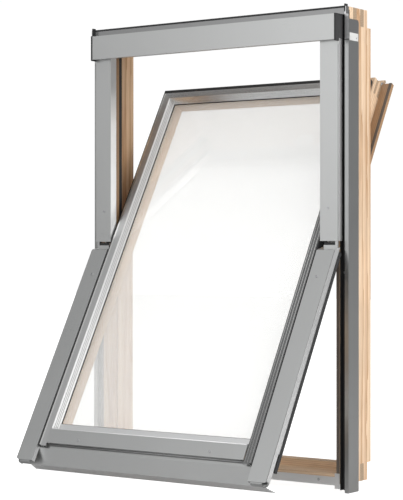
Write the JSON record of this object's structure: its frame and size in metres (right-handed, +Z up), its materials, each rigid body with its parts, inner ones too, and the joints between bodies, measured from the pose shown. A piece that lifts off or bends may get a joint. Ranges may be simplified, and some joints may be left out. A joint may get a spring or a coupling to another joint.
{
  "type": "roof skylight",
  "caption": "Centre-pivot roof skylight stored open: pine frame and tilting double-glazed sash, grey aluminium cladding, hood and side covers.",
  "frame": {"origin": "On the sill rail's underside, midway across and midway through the depth of the frame timber", "axes": "+X to the right seen from outside, +Y into the room, +Z up the window"},
  "size_m": [0.808, 0.6643, 1.203],
  "materials": {
    "pine": "clear-lacquered pine",
    "pine_shaded": "lacquered pine, darker",
    "grey_cladding": "satin grey coating",
    "grey_trim": "dark grey moulded",
    "bare_aluminium": "anodised, satin",
    "black_rubber": "matt black",
    "black_plastic": "matt black moulded",
    "glass": "clear float",
    "steel": "stainless",
    "zinc_plate": "zinc plated"
  },
  "bodies": {
    "frame": {"frame_stile_left": "pine", "frame_stile_right": "pine", "frame_head_rail": "pine", "frame_sill_rail": "pine", "frame_stop_left": "pine_shaded", "frame_stop_right": "pine_shaded", "frame_stop_seals": "black_rubber", "side_cladding_left": "grey_cladding", "side_cladding_right": "grey_cladding", "corner_cladding_left": "grey_cladding", "corner_cladding_right": "grey_cladding", "corner_clips": "zinc_plate", "channel_gasket_left": "black_rubber", "channel_gasket_right": "black_rubber", "head_cladding": "grey_cladding", "sill_cladding": "bare_aluminium", "hood": "grey_cladding", "hood_end_caps": "black_plastic", "upper_cover_left": "grey_cladding", "upper_cover_right": "grey_cladding", "upper_cover_clips": "black_plastic", "hinge_frame_left": "zinc_plate", "hinge_frame_right": "zinc_plate", "pivot_pins": "steel", "friction_discs": "black_plastic", "latch_keeper": "zinc_plate", "frame_screws": "steel"},
    "sash": {"sash_stile_left": "pine", "sash_stile_right": "pine", "sash_top_rail": "pine", "sash_bottom_rail": "pine", "sash_lip_left": "pine_shaded", "sash_lip_right": "pine_shaded", "sash_lip_gaskets": "black_rubber", "sash_seal": "black_rubber", "outer_pane": "glass", "inner_pane": "glass", "pane_spacer": "bare_aluminium", "edge_seal": "black_rubber", "glazing_tape": "black_rubber", "setting_blocks": "black_rubber", "glazing_profile_left": "bare_aluminium", "glazing_profile_right": "bare_aluminium", "glazing_profile_top": "bare_aluminium", "glazing_profile_bottom": "bare_aluminium", "lower_cover_left": "grey_cladding", "lower_cover_right": "grey_cladding", "lower_cover_caps": "grey_trim", "lower_cover_clips": "black_plastic", "lower_cover_strips": "black_rubber", "bottom_cover": "grey_cladding", "bottom_apron": "grey_cladding", "hinge_sash_left": "steel", "hinge_sash_right": "steel", "lock_case": "zinc_plate", "flap_brackets": "steel", "sash_screws": "steel"},
    "flap": {"vent_flap": "pine", "control_bar": "bare_aluminium"},
    "lock": {"latch_bolt": "steel"}
  },
  "joints": [
    {"name": "sash_tilt", "type": "hinge", "parent": "frame", "child": "sash", "pos_m": [0, -0.075, 0.603], "axis": [-1, 0, 0], "range_deg": [-29.6, 115.4]},
    {"name": "flap_tilt", "type": "hinge", "parent": "sash", "child": "flap", "pos_m": [0, 0.226, 1.00936], "axis": [-1, 0, 0], "range_deg": [-30, 4]},
    {"name": "bolt_slide", "type": "slide", "parent": "sash", "child": "lock", "axis": [0, 0.4939, 0.8695], "range_m": [-0.0012, 0.0082]}
  ],
  "couplings": [
    {"joint": "bolt_slide", "follows": "flap_tilt", "m_per_rad": -0.015279}
  ]
}
